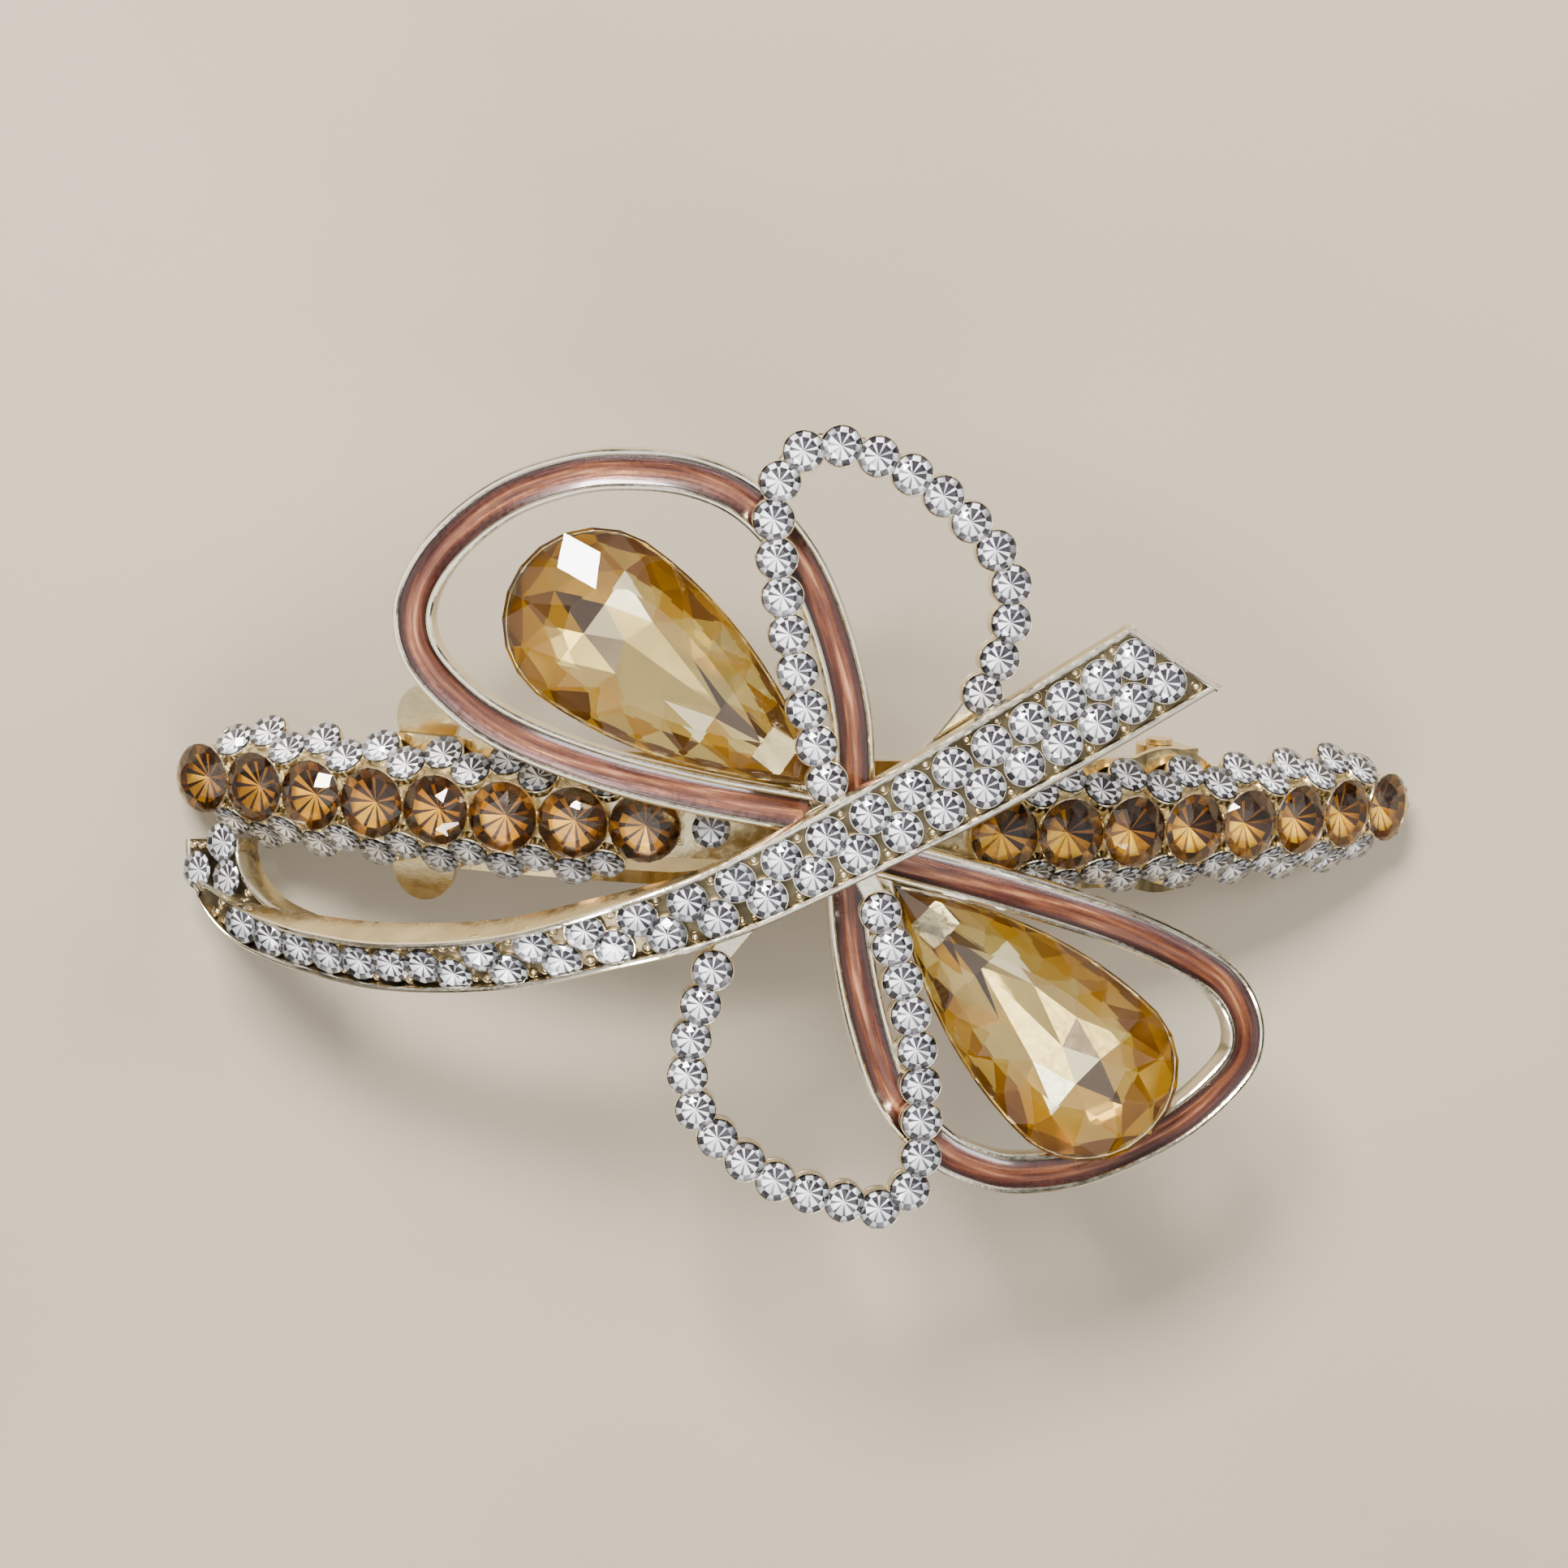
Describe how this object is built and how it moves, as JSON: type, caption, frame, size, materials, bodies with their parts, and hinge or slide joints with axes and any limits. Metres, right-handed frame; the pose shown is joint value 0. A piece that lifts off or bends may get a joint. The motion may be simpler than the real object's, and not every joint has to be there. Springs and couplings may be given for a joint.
{
  "type": "rhinestone hair clip",
  "caption": "Arched French hair clip with a stone-set bar, enamelled and rhinestone bow loops, pear stones, a diagonal stone ribbon and a sprung catch.",
  "frame": {"origin": "middle of the hair gap, between the tension leaf and the lower arm, half-way along the clip", "axes": "+X along the clip towards the hinge end, +Y across it towards the rear loops, +Z out of the decorated face"},
  "size_m": [0.092, 0.0559, 0.0278],
  "materials": {
    "pale_gold": "polished pale champagne-gold plating",
    "clip_gold": "polished warm gold plating",
    "spring_gold": "gold-plated spring steel",
    "brown_enamel": "glossy copper-brown enamel",
    "amber_glass": "faceted smoked-topaz glass, foiled",
    "champagne_glass": "faceted champagne glass",
    "clear_glass": "faceted clear glass, foiled"
  },
  "bodies": {
    "ornament": {"bar_base": "pale_gold", "centre_boss": "pale_gold", "ridge_stone": "clear_glass", "amber_stones_left": "amber_glass", "amber_stones_right": "amber_glass", "flank_stones_rear_left": "clear_glass", "flank_stones_rear_right": "clear_glass", "flank_stones_front_left": "clear_glass", "flank_stones_front_right": "clear_glass", "enamel_frame_rear": "pale_gold", "enamel_frame_front": "pale_gold", "enamel_fill_rear": "brown_enamel", "enamel_fill_front": "brown_enamel", "stone_strip_rear": "pale_gold", "stone_strip_front": "pale_gold", "strip_stones_rear": "clear_glass", "strip_stones_front": "clear_glass", "pear_seat_rear": "pale_gold", "pear_seat_front": "pale_gold", "pear_stone_rear": "champagne_glass", "pear_stone_front": "champagne_glass", "ribbon_band": "pale_gold", "ribbon_fold": "pale_gold", "ribbon_stones_rear_row": "clear_glass", "ribbon_stones_front_row": "clear_glass", "ribbon_stones_single_row": "clear_glass", "fold_stones": "clear_glass", "top_plate": "clip_gold", "tension_leaf": "spring_gold", "leaf_rivets": "clip_gold", "hinge_pin": "clip_gold", "catch_bridge": "clip_gold", "catch_rivet": "clip_gold"},
    "arm": {"lower_arm": "clip_gold"},
    "catch_rear": {"catch_leg_rear": "spring_gold"},
    "catch_front": {"catch_leg_front": "spring_gold"}
  },
  "joints": [
    {"name": "arm_hinge", "type": "hinge", "parent": "ornament", "child": "arm", "pos_m": [0.02555, 0, -0.00407], "axis": [0, -1, 0], "range_deg": [0, 80]},
    {"name": "catch_rear_flex", "type": "hinge", "parent": "ornament", "child": "catch_rear", "pos_m": [-0.02877, 0.0036, -0.00339], "axis": [0.8746, 0, 0.4848], "range_deg": [0, 8], "stiffness_Nm_per_rad": 0.005},
    {"name": "catch_front_flex", "type": "hinge", "parent": "ornament", "child": "catch_front", "pos_m": [-0.02877, -0.0036, -0.00339], "axis": [-0.8746, 0, -0.4848], "range_deg": [0, 8], "stiffness_Nm_per_rad": 0.005}
  ],
  "couplings": [
    {"joint": "catch_front_flex", "follows": "catch_rear_flex", "ratio": 1}
  ]
}
